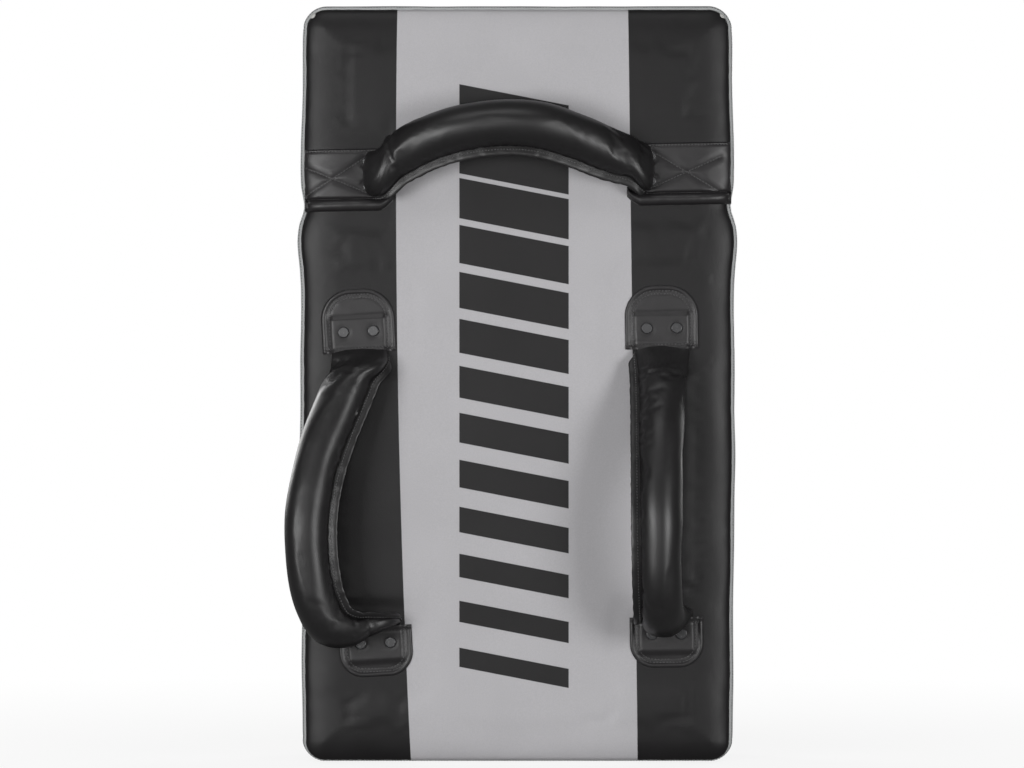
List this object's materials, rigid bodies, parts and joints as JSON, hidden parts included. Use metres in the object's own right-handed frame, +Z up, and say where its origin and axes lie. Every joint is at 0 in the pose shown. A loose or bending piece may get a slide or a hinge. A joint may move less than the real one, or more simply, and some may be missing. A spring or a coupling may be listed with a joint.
{
  "type": "kick shield",
  "caption": "Tall padded kick shield with two upright side grips and a padded top grip on its back, in black and grey synthetic leather.",
  "frame": {"origin": "middle of the bottom face that the shield stands on, half way through its thickness", "axes": "+Z up the shield's height; +Y out of the striking face, so the back with its grips faces -Y; +X to the right seen from behind the grips"},
  "size_m": [0.4401, 0.2527, 0.75],
  "materials": {
    "back_cover": "satin",
    "strike_cover": "satin",
    "gusset_leather": "satin",
    "grip_leather": "satin",
    "patch_leather": "satin",
    "inner_leather": "matte",
    "black_thread": "matte",
    "webbing": "matte",
    "firm_foam": "matte",
    "soft_foam": "matte",
    "black_rivet": "satin",
    "washer_steel": "satin"
  },
  "bodies": {
    "shield": {"strike_panel": "strike_cover", "back_panel": "back_cover", "back_seam_thread": "black_thread", "strike_seam_thread": "black_thread", "foam_strike_layer": "firm_foam", "foam_core_front": "soft_foam", "foam_core_rear": "soft_foam", "foam_back_layer": "firm_foam", "gusset_left": "gusset_leather", "gusset_right": "gusset_leather", "gusset_top": "gusset_leather", "gusset_bottom": "gusset_leather", "left_upper_patch": "patch_leather", "left_upper_tab": "webbing", "left_upper_patch_thread": "black_thread", "left_lower_patch": "patch_leather", "left_lower_tab": "webbing", "left_lower_patch_thread": "black_thread", "right_upper_patch": "patch_leather", "right_upper_tab": "webbing", "right_upper_patch_thread": "black_thread", "right_lower_patch": "patch_leather", "right_lower_tab": "webbing", "right_lower_patch_thread": "black_thread", "top_left_strap": "patch_leather", "top_left_strap_thread": "black_thread", "top_right_strap": "patch_leather", "top_right_strap_thread": "black_thread", "left_upper_rivets": "black_rivet", "left_upper_washers": "washer_steel", "left_upper_backing": "inner_leather", "left_lower_rivets": "black_rivet", "left_lower_washers": "washer_steel", "left_lower_backing": "inner_leather", "right_upper_rivets": "black_rivet", "right_upper_washers": "washer_steel", "right_upper_backing": "inner_leather", "right_lower_rivets": "black_rivet", "right_lower_washers": "washer_steel", "right_lower_backing": "inner_leather", "top_left_rivets": "black_rivet", "top_left_washers": "washer_steel", "top_left_backing": "inner_leather", "top_right_rivets": "black_rivet", "top_right_washers": "washer_steel", "top_right_backing": "inner_leather"},
    "left_grip": {"left_grip_sleeve": "grip_leather", "left_grip_foam": "soft_foam", "left_grip_webbing": "webbing", "left_grip_thread": "black_thread"},
    "right_grip": {"right_grip_sleeve": "grip_leather", "right_grip_foam": "soft_foam", "right_grip_webbing": "webbing", "right_grip_thread": "black_thread"},
    "top_grip": {"top_grip_sleeve": "grip_leather", "top_grip_foam": "soft_foam", "top_grip_webbing": "webbing", "top_grip_thread": "black_thread"}
  },
  "joints": [
    {"name": "left_grip_swing", "type": "hinge", "parent": "shield", "child": "left_grip", "pos_m": [-0.1565, -0.081, 0.402], "axis": [0.055, 0, -0.9985], "range_deg": [-120, 20]},
    {"name": "right_grip_swing", "type": "hinge", "parent": "shield", "child": "right_grip", "pos_m": [0.1435, -0.081, 0.4055], "axis": [0.0155, 0, -0.9999], "range_deg": [-74.5, 65.5]},
    {"name": "top_grip_swing", "type": "hinge", "parent": "shield", "child": "top_grip", "pos_m": [-0.138, -0.081, 0.5835], "axis": [0.9998, 0, 0.0192], "range_deg": [-20, 120]}
  ]
}
